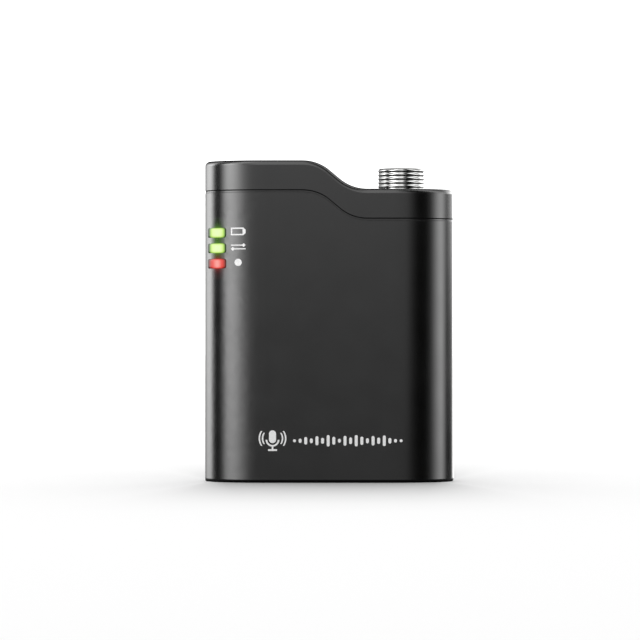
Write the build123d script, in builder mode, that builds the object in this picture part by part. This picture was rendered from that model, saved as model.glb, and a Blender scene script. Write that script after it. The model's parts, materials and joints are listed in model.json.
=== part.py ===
"""Wireless bodypack transmitter, as an assembly of separate pieces.

Units are millimetres. +Z is up, +X is to the wearer's right when the front is faced, and the
front looks along -Y. The origin is the centre of the case's underside.
"""

from build123d import *
from math import cos, radians, sin
import os

os.makedirs("parts", exist_ok=True)

# ---------------------------------------------------------------------------
# Driving dimensions
# ---------------------------------------------------------------------------
# Case
WIDTH = 64.0
DEPTH = 20.0
END_LENGTH = 15.6          # half-length, along X, of the ellipse at each end of the section
DECK_HIGH = 82.3           # top of the left-hand deck
STEP_DROP = 7.23           # how far the right-hand deck lies below it
STEP_CENTRE = 1.44         # X at the middle of the S-shaped step
STEP_RADIUS = 10.8
STEP_SLOPE = 40.0          # steepest angle of the step, degrees
WALL = 1.4                 # metal wall
CAP_WALL = 1.6             # plastic wall
ROOF = 1.8
CROWN_ROUND = 1.2          # rounding of the cap's top edge
SEAM_DEPTH = 7.6           # middle of the joint line below the deck
SEAM_GAP = 0.28
RIM_LAND_HEIGHT = 0.34     # land that is set back a little all round the case's rim
RIM_LAND_DEPTH = 0.12
RIM_LAND_BEVEL = 0.11
SPIGOT = 3.0               # how far the cap's spigot reaches into the case
SPIGOT_WALL = 1.0
FIT = 0.1                  # side clearance between pieces that slip together
SKIN = 0.02                # gap between pieces that rest on one another
GASKET_INSET = 0.12        # joint strip, back from the case's face
BASE_HEIGHT = 0.8
BASE_ROUND = 0.4
BASE_PLUG_TOP = 4.5
GASKET_GROOVE = 3.05       # bottom of the groove round the base plug
GASKET_HEIGHT = 0.9

# Indicator windows
LIGHT_PARAMETER = 52.0     # place round the left end: 0 is the front face, 90 the side
LIGHT_WIDTH = 5.5
LIGHT_HEIGHT = 2.4
LIGHT_HEIGHTS = {"battery": 63.85, "link": 59.9, "status": 55.95}
LIGHT_CORNER = 0.65        # corner radius of the window slots

# Microphone connector
JACK_X = 18.6
JACK_TOP = 80.45
THREAD_RADIUS = 6.0
THREAD_PITCH = 1.0
JACK_BORE = 1.8
SLEEVE_BORE = 3.45
FLANGE_RADIUS = 7.4

# Inner frame and boards
CHASSIS_FRONT = -3.6
CHASSIS_SHEET = 0.8
CHASSIS_TOP = 58.0
BOARD_FRONT = -5.9
BOARD_SHEET = 0.8
BOARD_BOTTOM = 4.8
BOARD_TOP = 62.0
TOP_BOARD_Z = 76.3

# Battery and its door
BATTERY_HALF = 18.0
BATTERY_FRONT = -2.4
BATTERY_BACK = 6.0
BATTERY_BOTTOM = 5.5
BATTERY_HEIGHT = 48.0
DOOR_HALF = 18.4
DOOR_SHEET = 1.3
DOOR_GAP = 0.2
HINGE_Y = 7.3
HINGE_Z = 1.5
HINGE_BARREL = 1.2
HINGE_PIN = 0.5

# Belt clip
CLIP_PIVOT_Y = 13.6
CLIP_PIVOT_Z = 57.0
CLIP_HALF = 7.0
CLIP_SHEET = 1.2
CLIP_PIN = 1.0
BRACKET_HALF = 8.7
BRACKET_SHEET = 1.2

# Worked-out places
HALF_WIDTH = WIDTH / 2
HALF_DEPTH = DEPTH / 2
HALF_FLAT = HALF_WIDTH - END_LENGTH
DECK_LOW = DECK_HIGH - STEP_DROP
CAP_EDGE = DECK_HIGH - SEAM_DEPTH + SEAM_GAP / 2
CASE_RIM = DECK_HIGH - SEAM_DEPTH - SEAM_GAP / 2
ROOF_UNDER = DECK_HIGH - ROOF
ROOF_UNDER_LOW = DECK_LOW - ROOF
BOARD_BACK = BOARD_FRONT + BOARD_SHEET
CHASSIS_BACK = CHASSIS_FRONT + CHASSIS_SHEET
BATTERY_TOP = BATTERY_BOTTOM + BATTERY_HEIGHT


# ---------------------------------------------------------------------------
# Shared shapes
# ---------------------------------------------------------------------------
def plan(inset):
    """Section of the case from above: two flat faces closed by half-ellipses, shrunk by inset."""
    end = END_LENGTH - inset
    half_depth = HALF_DEPTH - inset
    with BuildSketch() as section:
        with BuildLine():
            Line((-HALF_FLAT, -half_depth), (HALF_FLAT, -half_depth))
            EllipticalCenterArc((HALF_FLAT, 0), end, half_depth, start_angle=-90, arc_size=180)
            Line((HALF_FLAT, half_depth), (-HALF_FLAT, half_depth))
            EllipticalCenterArc((-HALF_FLAT, 0), end, half_depth, start_angle=90, arc_size=180)
        make_face()
    return section.sketch


def below_step(high):
    """Region of the front view below the stepped line whose left-hand level is given."""
    slope = radians(STEP_SLOPE)
    arc_drop = STEP_RADIUS * (1 - cos(slope))
    ramp = (STEP_DROP - 2 * arc_drop) / sin(slope)
    half_run = STEP_RADIUS * sin(slope) + ramp * cos(slope) / 2
    with BuildSketch() as region:
        with BuildLine():
            level = Line((-WIDTH, high), (STEP_CENTRE - half_run, high))
            over = JernArc(level @ 1, level % 1, STEP_RADIUS, -STEP_SLOPE)
            down = PolarLine(over @ 1, ramp, -STEP_SLOPE)
            under = JernArc(down @ 1, down % 1, STEP_RADIUS, STEP_SLOPE)
            Polyline(under @ 1, (WIDTH, high - STEP_DROP), (WIDTH, -DEPTH), (-WIDTH, -DEPTH), level @ 0)
        make_face()
    return region.sketch


def block(low, high, mode=Mode.ADD):
    """Add a box that spans two opposite corners."""
    size = [top - bottom for bottom, top in zip(low, high)]
    with Locations(low):
        Box(*size, align=(Align.MIN, Align.MIN, Align.MIN), mode=mode)


def rod(start, direction, radius, length, mode=Mode.ADD):
    """Add a round bar that starts at a point and runs in a direction."""
    with Locations(Plane(origin=start, z_dir=direction)):
        Cylinder(radius, length, align=(Align.CENTER, Align.CENTER, Align.MIN), mode=mode)


def mirrored(half_width):
    """Both signs of a distance from the middle plane."""
    return (-half_width, half_width)


OUTLINE = plan(0)
CAVITY = plan(WALL)
CAP_CAVITY = plan(CAP_WALL)
SPIGOT_OUTSIDE = plan(WALL + FIT)
SPIGOT_INSIDE = plan(WALL + FIT + SPIGOT_WALL)

UP = (0, 0, 1)
DOWN = (0, 0, -1)
BACKWARD = (0, 1, 0)
FORWARD = (0, -1, 0)
SIDEWAYS = (1, 0, 0)

# ---------------------------------------------------------------------------
# Fastener places shared by the pieces that they join
# ---------------------------------------------------------------------------
CAP_SCREW_X = 13.0
CAP_SCREW_Z = 63.5
CAP_SCREW_RADIUS = 0.9
CAP_SCREW_HEAD = 1.8
BASE_SCREW_X = 24.5
BASE_SCREW_RADIUS = 1.0
BASE_SCREW_HEAD = 1.9
BASE_SCREW_SEAT = 1.3
CLIP_SCREWS = [(-5.2, 47.5), (5.2, 47.5), (0.0, 61.3)]
CLIP_SCREW_RADIUS = 0.95
BOARD_SCREWS = [(-19.0, 9.0), (22.0, 9.0), (-19.0, 54.5), (22.0, 54.5)]
BOARD_SCREW_RADIUS = 0.7
JACK_SCREW_REACH = 9.0
JACK_SCREW_RADIUS = 0.68
TOP_SCREW_X = -16.2
TOP_SCREW_Y = 3.6
SOCKET_Y = -6.35           # charging socket, let into a notch of the board
SOCKET_HALF = 3.75
SOCKET_TOP = 6.6
CHARGE_PINS = [-20.0, -16.5, -13.0]
CHARGE_PIN_RADIUS = 0.8
CHARGE_PIN_Y = -6.8

# The plane of the indicator windows, square to the rounded left front corner
light_turn = radians(LIGHT_PARAMETER)
light_point = (-HALF_FLAT - END_LENGTH * sin(light_turn), -HALF_DEPTH * cos(light_turn))
light_normal = (-sin(light_turn) / END_LENGTH, -cos(light_turn) / HALF_DEPTH, 0)
LIGHT_FACE = Plane(
    origin=(*light_point, 0),
    x_dir=(-light_normal[1], light_normal[0], 0),
    z_dir=light_normal,
)


# ---------------------------------------------------------------------------
# Helpers for the stepped pieces
# ---------------------------------------------------------------------------
def stepped_band(outside, inside, high, low):
    """Ring between two sections that follows the step, between two left-hand levels."""
    with BuildPart() as band:
        with BuildSketch(Plane.XY.offset(BOARD_TOP)):
            add(outside)
            if inside is not None:
                add(inside, mode=Mode.SUBTRACT)
        extrude(amount=DEPTH + ROOF)
        with BuildSketch(Plane.XZ):
            add(below_step(high))
            if low is not None:
                add(below_step(low), mode=Mode.SUBTRACT)
        extrude(amount=DEPTH, both=True, mode=Mode.INTERSECT)
    return band.part


def reaches_outside(edge):
    """Whether an edge of the case touches its front or its back face."""
    box = edge.bounding_box()
    return max(-box.min.Y, box.max.Y) > HALF_DEPTH - 0.01


# ---------------------------------------------------------------------------
# Case body: a metal tube with a stepped upper rim
# ---------------------------------------------------------------------------
rim_land = stepped_band(plan(-0.5), plan(RIM_LAND_DEPTH), CASE_RIM + 1, CASE_RIM - RIM_LAND_HEIGHT)

with BuildPart() as housing:
    with BuildSketch(Plane.XY.offset(BASE_HEIGHT)):
        add(OUTLINE)
    extrude(amount=DECK_HIGH)
    with BuildSketch(Plane.XZ):
        add(below_step(CASE_RIM))
    extrude(amount=DEPTH, both=True, mode=Mode.INTERSECT)
    # Land round the rim, with a bevel that leads from it out to the face
    add(rim_land, mode=Mode.SUBTRACT)
    ledge = housing.edges().filter_by(lambda edge: edge.bounding_box().min.Z > CASE_RIM - STEP_DROP - 1)
    ledge = ledge.filter_by(reaches_outside)
    chamfer(ledge - ledge.filter_by(Axis.Y), RIM_LAND_BEVEL)
    with BuildSketch(Plane.XY.offset(BASE_HEIGHT)):
        add(CAVITY)
    extrude(amount=DECK_HIGH, mode=Mode.SUBTRACT)
    # Window slots in the left front corner
    with BuildSketch(LIGHT_FACE.offset(-3)):
        for height in LIGHT_HEIGHTS.values():
            with Locations((0, height)):
                RectangleRounded(LIGHT_WIDTH + FIT, LIGHT_HEIGHT + FIT, LIGHT_CORNER)
    extrude(amount=4, mode=Mode.SUBTRACT)
    # Countersunk holes for the cap screws, at the back
    for x in mirrored(CAP_SCREW_X):
        with Locations(Plane(origin=(x, HALF_DEPTH, CAP_SCREW_Z), z_dir=BACKWARD)):
            CounterSinkHole(CAP_SCREW_RADIUS + FIT / 2, CAP_SCREW_HEAD + FIT / 2, 2 * WALL)
    # Clip screw holes
    for x, z in CLIP_SCREWS:
        rod((x, HALF_DEPTH - 2 * WALL, z), BACKWARD, CLIP_SCREW_RADIUS + FIT, 3 * WALL, Mode.SUBTRACT)
housing.part.label = "housing"
export_step(housing.part, "parts/housing.step")

# ---------------------------------------------------------------------------
# Top cap: plastic, so that the antennas under it can work
# ---------------------------------------------------------------------------
SLIDER_X = -23.0
SLIDER_TRAVEL = 2.0
SLIDER_RECESS = 0.8
BUTTON_X = -11.0
BUTTON_RADIUS = 2.6
recess_x = SLIDER_X + SLIDER_TRAVEL / 2

cap_block = stepped_band(OUTLINE, None, DECK_HIGH, CAP_EDGE)
cap_hollow = stepped_band(CAP_CAVITY, None, ROOF_UNDER, None)
cap_spigot = stepped_band(SPIGOT_OUTSIDE, SPIGOT_INSIDE, CAP_EDGE + SPIGOT / 2, CAP_EDGE - SPIGOT)

with BuildPart() as top_cap:
    add(cap_block)
    upper = top_cap.faces().filter_by(lambda face: face.normal_at().Z > 0.3)
    fillet(upper.edges() - upper.edges().filter_by(Axis.Y), CROWN_ROUND)
    add(cap_hollow, mode=Mode.SUBTRACT)
    # Spigot that locates the cap inside the case
    add(cap_spigot)
    # Legs that take the cap screws
    leg_back = HALF_DEPTH - WALL - FIT
    for x, leg_top in ((-CAP_SCREW_X, CAP_EDGE + 1), (CAP_SCREW_X, CAP_EDGE - STEP_DROP + 1)):
        block((x - 2.4, leg_back - 2.5, CAP_SCREW_Z - 2.5), (x + 2.4, leg_back, leg_top))
        rod((x, leg_back + 1, CAP_SCREW_Z), FORWARD, CAP_SCREW_RADIUS, 5, Mode.SUBTRACT)
    # Bosses for the connector's retainer and for the small upper board
    for x in (JACK_X - JACK_SCREW_REACH, JACK_X + JACK_SCREW_REACH):
        rod((x, 0, ROOF_UNDER_LOW - 1.77), UP, 1.4, 2.5)
        rod((x, 0, ROOF_UNDER_LOW - 1.77), UP, JACK_SCREW_RADIUS, 2.2, Mode.SUBTRACT)
    for y in mirrored(TOP_SCREW_Y):
        rod((TOP_SCREW_X, y, TOP_BOARD_Z + BOARD_SHEET), UP, 1.2, ROOF_UNDER - TOP_BOARD_Z)
        rod((TOP_SCREW_X, y, TOP_BOARD_Z + BOARD_SHEET), UP, BOARD_SCREW_RADIUS, 3, Mode.SUBTRACT)
    # Openings for the connector, the button and the slider
    rod((JACK_X, 0, ROOF_UNDER_LOW - 1), UP, THREAD_RADIUS + FIT, 2 * ROOF, Mode.SUBTRACT)
    rod((BUTTON_X, 0, ROOF_UNDER - 1), UP, BUTTON_RADIUS + 0.12, 2 * ROOF, Mode.SUBTRACT)
    with BuildSketch(Plane.XY.offset(DECK_HIGH - SLIDER_RECESS)):
        with Locations((recess_x, 0)):
            RectangleRounded(9.0, 4.8, 1.2)
    extrude(amount=ROOF, mode=Mode.SUBTRACT)
    with BuildSketch(Plane.XY.offset(ROOF_UNDER - 1)):
        with Locations((recess_x, 0)):
            RectangleRounded(2.2 + SLIDER_TRAVEL, 1.6, 0.5)
    extrude(amount=2 * ROOF, mode=Mode.SUBTRACT)
top_cap.part.label = "top_cap"
export_step(top_cap.part, "parts/top_cap.step")

with BuildPart() as seam_gasket:
    with BuildSketch(Plane.XY.offset(BOARD_TOP)):
        add(plan(GASKET_INSET))
        add(plan(WALL - 0.05), mode=Mode.SUBTRACT)
    extrude(amount=DEPTH)
    with BuildSketch(Plane.XZ):
        add(below_step(CAP_EDGE - SKIN))
        add(below_step(CASE_RIM + SKIN), mode=Mode.SUBTRACT)
    extrude(amount=DEPTH, both=True, mode=Mode.INTERSECT)
seam_gasket.part.label = "seam_gasket"
export_step(seam_gasket.part, "parts/seam_gasket.step")

# ---------------------------------------------------------------------------
# Base cap: closes the case below and carries the door's hinge
# ---------------------------------------------------------------------------
door_front = BATTERY_FRONT
pocket_back = 9.1
pocket_top = 2.85
barrel_half = 13.0
ear_far = 16.4

with BuildPart() as base_cap:
    with BuildSketch():
        add(OUTLINE)
    extrude(amount=BASE_HEIGHT)
    fillet(base_cap.faces().sort_by(Axis.Z)[0].edges(), BASE_ROUND)
    with BuildSketch(Plane.XY.offset(BASE_HEIGHT)):
        add(SPIGOT_OUTSIDE)
    extrude(amount=BASE_PLUG_TOP - BASE_HEIGHT)
    # Groove for the base gasket
    with BuildSketch(Plane.XY.offset(GASKET_GROOVE)):
        add(OUTLINE)
        add(plan(WALL + 0.8), mode=Mode.SUBTRACT)
    extrude(amount=GASKET_HEIGHT, mode=Mode.SUBTRACT)
    # Battery opening, with the hinge pocket behind it
    block((-DOOR_HALF - DOOR_GAP, door_front - DOOR_GAP, -1), (DOOR_HALF + DOOR_GAP, 6.08, 5), Mode.SUBTRACT)
    block((-DOOR_HALF - DOOR_GAP, 6.0, -1), (DOOR_HALF + DOOR_GAP, pocket_back, pocket_top), Mode.SUBTRACT)
    # Fingernail scoop in front of the door
    with Locations((0, door_front - 0.6, -1.4)):
        Sphere(2.4, mode=Mode.SUBTRACT)
    # Hinge ears
    for x in (-ear_far, barrel_half + 0.2):
        rod((x, HINGE_Y, HINGE_Z), SIDEWAYS, HINGE_BARREL, ear_far - barrel_half - 0.2)
        block((x, 6.2, HINGE_Z), (x + ear_far - barrel_half - 0.2, HINGE_Y + HINGE_BARREL, 3.0))
        rod((x - 1, HINGE_Y, HINGE_Z), SIDEWAYS, HINGE_PIN + 0.01, 6, Mode.SUBTRACT)
    # Charging socket mouth and pin holes
    with BuildSketch(Plane.XY.offset(-1)):
        with Locations((0, SOCKET_Y)):
            RectangleRounded(8.0, 2.8, 0.6)
    extrude(amount=6, mode=Mode.SUBTRACT)
    for x in CHARGE_PINS:
        rod((x, CHARGE_PIN_Y, -1), UP, CHARGE_PIN_RADIUS, 6, Mode.SUBTRACT)
    # Screw seats
    for x in mirrored(BASE_SCREW_X):
        rod((x, 0, -1), UP, BASE_SCREW_RADIUS + FIT, 6, Mode.SUBTRACT)
        rod((x, 0, -1), UP, BASE_SCREW_HEAD + FIT, 1 + BASE_SCREW_SEAT, Mode.SUBTRACT)
base_cap.part.label = "base_cap"
export_step(base_cap.part, "parts/base_cap.step")

with BuildPart() as base_gasket:
    with BuildSketch(Plane.XY.offset(GASKET_GROOVE + SKIN)):
        add(plan(WALL + 0.03))
        add(plan(WALL + 0.75), mode=Mode.SUBTRACT)
    extrude(amount=GASKET_HEIGHT - 2 * SKIN)
base_gasket.part.label = "base_gasket"
export_step(base_gasket.part, "parts/base_gasket.step")

with BuildPart() as base_screws:
    for x in mirrored(BASE_SCREW_X):
        rod((x, 0, 0.15), UP, BASE_SCREW_HEAD, BASE_SCREW_SEAT - 0.15)
        rod((x, 0, BASE_SCREW_SEAT), UP, BASE_SCREW_RADIUS, 7.5)
        with BuildSketch(Plane.XY):
            with Locations((x, 0)):
                RegularPolygon(0.9, 6)
        extrude(amount=0.9, mode=Mode.SUBTRACT)
base_screws.part.label = "base_screws"
export_step(base_screws.part, "parts/base_screws.step")

# ---------------------------------------------------------------------------
# Indicator lights
# ---------------------------------------------------------------------------
def light_pipe(height):
    """Clear window that follows the case's surface, with a shoulder behind the wall."""
    with BuildPart() as pipe:
        with BuildSketch(LIGHT_FACE.offset(-2.8)):
            with Locations((0, height)):
                RectangleRounded(LIGHT_WIDTH, LIGHT_HEIGHT, 0.6)
        extrude(amount=4)
        with BuildSketch(Plane.XY.offset(BASE_HEIGHT)):
            add(plan(-0.04))
        extrude(amount=DECK_HIGH, mode=Mode.INTERSECT)
        with BuildSketch(LIGHT_FACE.offset(-2.85)):
            with Locations((0, height)):
                RectangleRounded(LIGHT_WIDTH + 0.8, LIGHT_HEIGHT + 0.8, 0.6)
        extrude(amount=0.6)
    return pipe.part


light_pipe_battery = light_pipe(LIGHT_HEIGHTS["battery"])
light_pipe_battery.label = "light_pipe_battery"
export_step(light_pipe_battery, "parts/light_pipe_battery.step")

light_pipe_link = light_pipe(LIGHT_HEIGHTS["link"])
light_pipe_link.label = "light_pipe_link"
export_step(light_pipe_link, "parts/light_pipe_link.step")

light_pipe_status = light_pipe(LIGHT_HEIGHTS["status"])
light_pipe_status.label = "light_pipe_status"
export_step(light_pipe_status, "parts/light_pipe_status.step")

with BuildPart() as led_board:
    with BuildSketch(LIGHT_FACE.offset(-4.2)):
        with Locations((0, LIGHT_HEIGHTS["link"])):
            RectangleRounded(7.0, 13.6, 0.6)
    extrude(amount=0.6)
led_board.part.label = "led_board"
export_step(led_board.part, "parts/led_board.step")

with BuildPart() as status_leds:
    with BuildSketch(LIGHT_FACE.offset(-3.6)):
        for height in LIGHT_HEIGHTS.values():
            with Locations((0, height)):
                Rectangle(3.2, 1.6)
    extrude(amount=0.7)
status_leds.part.label = "status_leds"
export_step(status_leds.part, "parts/status_leds.step")

# ---------------------------------------------------------------------------
# Microphone connector
# ---------------------------------------------------------------------------
flange_top = ROOF_UNDER_LOW - 0.6
flange_bottom = flange_top - 1.2
retainer_sheet = 0.95
retainer_bottom = flange_bottom - retainer_sheet
jack_box_bottom = 60.0
thread_bottom = DECK_LOW - 0.11

# The sleeve is one turned profile. Its thread is drawn as ring grooves at the thread's pitch.
groove_depth = 0.54 * THREAD_PITCH
groove_half = 0.36 * THREAD_PITCH
groove_floor = 0.06 * THREAD_PITCH
turns = int((JACK_TOP - thread_bottom) / THREAD_PITCH)
profile = [(SLEEVE_BORE, flange_bottom), (FLANGE_RADIUS, flange_bottom), (FLANGE_RADIUS, flange_top)]
profile.append((THREAD_RADIUS, flange_top))
for turn in range(turns):
    groove_z = thread_bottom + (turn + 0.5) * THREAD_PITCH
    profile.append((THREAD_RADIUS, groove_z - groove_half))
    profile.append((THREAD_RADIUS - groove_depth, groove_z - groove_floor))
    profile.append((THREAD_RADIUS - groove_depth, groove_z + groove_floor))
    profile.append((THREAD_RADIUS, groove_z + groove_half))
profile += [(THREAD_RADIUS - 0.45, JACK_TOP), (SLEEVE_BORE, JACK_TOP)]

with BuildPart() as jack_bushing:
    with BuildSketch(Plane(origin=(JACK_X, 0, 0), x_dir=SIDEWAYS, z_dir=FORWARD)):
        with BuildLine():
            Polyline(*profile, close=True)
        make_face()
    revolve(axis=Axis((JACK_X, 0, 0), UP))
jack_bushing.part.label = "jack_bushing"
export_step(jack_bushing.part, "parts/jack_bushing.step")

with BuildPart() as jack_body:
    block((JACK_X - 5, -4.6, jack_box_bottom), (JACK_X + 5, 4.6, retainer_bottom - SKIN))
    rod((JACK_X, 0, retainer_bottom - 1), UP, SLEEVE_BORE - 0.05, JACK_TOP - 0.4 - retainer_bottom + 1)
    rod((JACK_X, 0, JACK_TOP - 17), UP, JACK_BORE, 20, Mode.SUBTRACT)
    # Slots for the three contact blades
    block((JACK_X + 2.3, -1.0, 67.0), (JACK_X + 6, 1.0, 67.6), Mode.SUBTRACT)
    block((JACK_X - 6, -1.0, 69.0), (JACK_X - 2.3, 1.0, 69.6), Mode.SUBTRACT)
    block((JACK_X - 1.0, 2.3, 65.4), (JACK_X + 1.0, 6, 66.0), Mode.SUBTRACT)
jack_body.part.label = "jack_body"
export_step(jack_body.part, "parts/jack_body.step")

with BuildPart() as jack_contacts:
    block((JACK_X + 2.5, -0.8, 67.2), (JACK_X + 5.3, 0.8, 67.45))
    block((JACK_X + 5.05, -0.8, 58.8), (JACK_X + 5.3, 0.8, 67.45))
    block((JACK_X - 5.3, -0.8, 69.2), (JACK_X - 2.5, 0.8, 69.45))
    block((JACK_X - 5.3, -0.8, 58.8), (JACK_X - 5.05, 0.8, 69.45))
    block((JACK_X - 0.8, 2.5, 65.6), (JACK_X + 0.8, 4.9, 65.85))
    block((JACK_X - 0.8, 4.65, 58.8), (JACK_X + 0.8, 4.9, 65.85))
jack_contacts.part.label = "jack_contacts"
export_step(jack_contacts.part, "parts/jack_contacts.step")

with BuildPart() as jack_seal:
    with BuildSketch(Plane.XY.offset(flange_top + SKIN)):
        with Locations((JACK_X, 0)):
            Circle(FLANGE_RADIUS)
            Circle(THREAD_RADIUS + FIT, mode=Mode.SUBTRACT)
    extrude(amount=0.6 - 2 * SKIN)
jack_seal.part.label = "jack_seal"
export_step(jack_seal.part, "parts/jack_seal.step")

with BuildPart() as jack_retainer:
    with BuildSketch(Plane.XY.offset(retainer_bottom)):
        with Locations((JACK_X, 0)):
            RectangleRounded(2 * JACK_SCREW_REACH + 2.6, 5.0, 1.2)
            Circle(6.2)
            Circle(SLEEVE_BORE + 0.05, mode=Mode.SUBTRACT)
        with Locations((JACK_X - JACK_SCREW_REACH, 0), (JACK_X + JACK_SCREW_REACH, 0)):
            Circle(JACK_SCREW_RADIUS + 0.05, mode=Mode.SUBTRACT)
    extrude(amount=retainer_sheet - SKIN)
jack_retainer.part.label = "jack_retainer"
export_step(jack_retainer.part, "parts/jack_retainer.step")

with BuildPart() as jack_screws:
    for x in (JACK_X - JACK_SCREW_REACH, JACK_X + JACK_SCREW_REACH):
        rod((x, 0, retainer_bottom), DOWN, 1.3, 0.9)
        rod((x, 0, retainer_bottom), UP, JACK_SCREW_RADIUS, 2.4)
jack_screws.part.label = "jack_screws"
export_step(jack_screws.part, "parts/jack_screws.step")

# ---------------------------------------------------------------------------
# Controls in the high deck
# ---------------------------------------------------------------------------
with BuildPart() as power_button:
    rod((BUTTON_X, 0, ROOF_UNDER - 0.1), UP, BUTTON_RADIUS, ROOF + 0.1)
    chamfer(power_button.edges().filter_by(GeomType.CIRCLE).sort_by(Axis.Z)[-1], 0.25)
    rod((BUTTON_X, 0, ROOF_UNDER - 0.8), UP, BUTTON_RADIUS + 0.7, 0.7)
    rod((BUTTON_X, 0, TOP_BOARD_Z + 2.65), UP, 1.2, 1.0)
power_button.part.label = "power_button"
export_step(power_button.part, "parts/power_button.step")

with BuildPart() as power_switch:
    switch_bottom = TOP_BOARD_Z + BOARD_SHEET
    block((BUTTON_X - 1.7, -1.7, switch_bottom), (BUTTON_X + 1.7, 1.7, switch_bottom + 0.9))
    rod((BUTTON_X, 0, switch_bottom + 0.9), UP, 0.9, 0.45)
power_switch.part.label = "power_switch"
export_step(power_switch.part, "parts/power_switch.step")

with BuildPart() as mute_slider:
    slider_floor = DECK_HIGH - SLIDER_RECESS
    block((SLIDER_X - 2.0, -1.9, slider_floor + 0.05), (SLIDER_X + 2.0, 1.9, DECK_HIGH - 0.1))
    for offset_x in (-1.2, 0.0, 1.2):
        block(
            (SLIDER_X + offset_x - 0.25, -2, DECK_HIGH - 0.35),
            (SLIDER_X + offset_x + 0.25, 2, DECK_HIGH),
            Mode.SUBTRACT,
        )
    block((SLIDER_X - 1.0, -0.7, ROOF_UNDER - 1.9), (SLIDER_X + 1.0, 0.7, slider_floor + 0.1))
    block((SLIDER_X - 1.8, -1.8, ROOF_UNDER - 0.6), (SLIDER_X + 1.8, 1.8, ROOF_UNDER - 0.05))
mute_slider.part.label = "mute_slider"
export_step(mute_slider.part, "parts/mute_slider.step")

with BuildPart() as mute_switch:
    block((recess_x - 3.4, -1.8, switch_bottom), (recess_x + 3.4, 1.8, switch_bottom + 1.4))
mute_switch.part.label = "mute_switch"
export_step(mute_switch.part, "parts/mute_switch.step")

with BuildPart() as top_board:
    block((-26, -4.8, TOP_BOARD_Z), (-5, 4.8, TOP_BOARD_Z + BOARD_SHEET))
    for y in mirrored(TOP_SCREW_Y):
        rod((TOP_SCREW_X, y, TOP_BOARD_Z - 1), UP, BOARD_SCREW_RADIUS + 0.05, 3, Mode.SUBTRACT)
top_board.part.label = "top_board"
export_step(top_board.part, "parts/top_board.step")

with BuildPart() as top_board_screws:
    for y in mirrored(TOP_SCREW_Y):
        rod((TOP_SCREW_X, y, TOP_BOARD_Z), DOWN, 1.15, 0.7)
        rod((TOP_SCREW_X, y, TOP_BOARD_Z), UP, BOARD_SCREW_RADIUS, 3.2)
top_board_screws.part.label = "top_board_screws"
export_step(top_board_screws.part, "parts/top_board_screws.step")

# ---------------------------------------------------------------------------
# Inner frame, with the battery compartment
# ---------------------------------------------------------------------------
rail_inside = DOOR_HALF
rail_outside = rail_inside + 1.0
frame_bottom = BASE_PLUG_TOP + SKIN

with BuildPart() as chassis:
    block((-22.5, CHASSIS_FRONT, frame_bottom), (25, CHASSIS_BACK, CHASSIS_TOP))
    for side in (-1, 1):
        low_x, high_x = sorted((side * rail_inside, side * rail_outside))
        block((low_x, CHASSIS_FRONT, frame_bottom), (high_x, BATTERY_BACK, CHASSIS_TOP))
        low_x, high_x = sorted((side * 21.5, side * 27.0))
        block((low_x, CHASSIS_FRONT, frame_bottom), (high_x, 2.2, 10.0))
    block((-rail_outside, CHASSIS_FRONT, CHASSIS_TOP - 1), (rail_outside, BATTERY_BACK, CHASSIS_TOP))
    for x, z in BOARD_SCREWS:
        rod((x, BOARD_BACK, z), BACKWARD, 1.7, CHASSIS_FRONT - BOARD_BACK)
        rod((x, BOARD_BACK, z), BACKWARD, BOARD_SCREW_RADIUS, 2.0, Mode.SUBTRACT)
    for x in mirrored(BASE_SCREW_X):
        rod((x, 0, frame_bottom - 1), UP, BASE_SCREW_RADIUS, 6, Mode.SUBTRACT)
chassis.part.label = "chassis"
export_step(chassis.part, "parts/chassis.step")

with BuildPart() as main_board:
    block((-22, BOARD_FRONT, BOARD_BOTTOM), (25, BOARD_BACK, BOARD_TOP))
    block(
        (-SOCKET_HALF - FIT, BOARD_FRONT - 1, BOARD_BOTTOM - 1),
        (SOCKET_HALF + FIT, BOARD_BACK + 1, SOCKET_TOP + FIT),
        Mode.SUBTRACT,
    )
    for x, z in BOARD_SCREWS:
        rod((x, BOARD_FRONT - 1, z), BACKWARD, BOARD_SCREW_RADIUS + 0.1, 3, Mode.SUBTRACT)
main_board.part.label = "main_board"
export_step(main_board.part, "parts/main_board.step")

with BuildPart() as board_screws:
    for x, z in BOARD_SCREWS:
        rod((x, BOARD_FRONT, z), FORWARD, 1.4, 0.8)
        rod((x, BOARD_FRONT, z), BACKWARD, BOARD_SCREW_RADIUS, 2.6)
board_screws.part.label = "board_screws"
export_step(board_screws.part, "parts/board_screws.step")

with BuildPart() as shield_can:
    block((-16, BOARD_FRONT - 1.8, 34), (4, BOARD_FRONT, 57))
    block((-15.8, BOARD_FRONT - 1.6, 34.2), (3.8, BOARD_FRONT, 56.8), Mode.SUBTRACT)
shield_can.part.label = "shield_can"
export_step(shield_can.part, "parts/shield_can.step")

# Parts soldered to the front of the board: X, Z, width, height and thickness
CHIPS = [
    (14.0, 46.0, 9.0, 9.0, 1.1),     # signal processor
    (14.0, 32.0, 6.0, 6.0, 0.9),     # audio converter
    (-12.0, 24.0, 5.0, 5.0, 0.9),    # power controller
    (-3.0, 24.0, 4.0, 4.0, 1.6),     # inductor
    (12.0, 22.0, 4.0, 3.0, 1.4),     # microphone supply
    (20.0, 38.5, 3.2, 2.5, 0.8),     # crystal
]
with BuildPart() as board_components:
    for x, z, chip_width, chip_height, thickness in CHIPS:
        block(
            (x - chip_width / 2, BOARD_FRONT - thickness, z - chip_height / 2),
            (x + chip_width / 2, BOARD_FRONT, z + chip_height / 2),
        )
    with Locations(Plane(origin=(0, BOARD_FRONT, 14.5), x_dir=SIDEWAYS, z_dir=FORWARD)):
        with GridLocations(3.2, 2.4, 9, 2):
            Box(1.6, 0.8, 0.5, align=(Align.CENTER, Align.CENTER, Align.MIN))
board_components.part.label = "board_components"
export_step(board_components.part, "parts/board_components.step")

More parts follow.
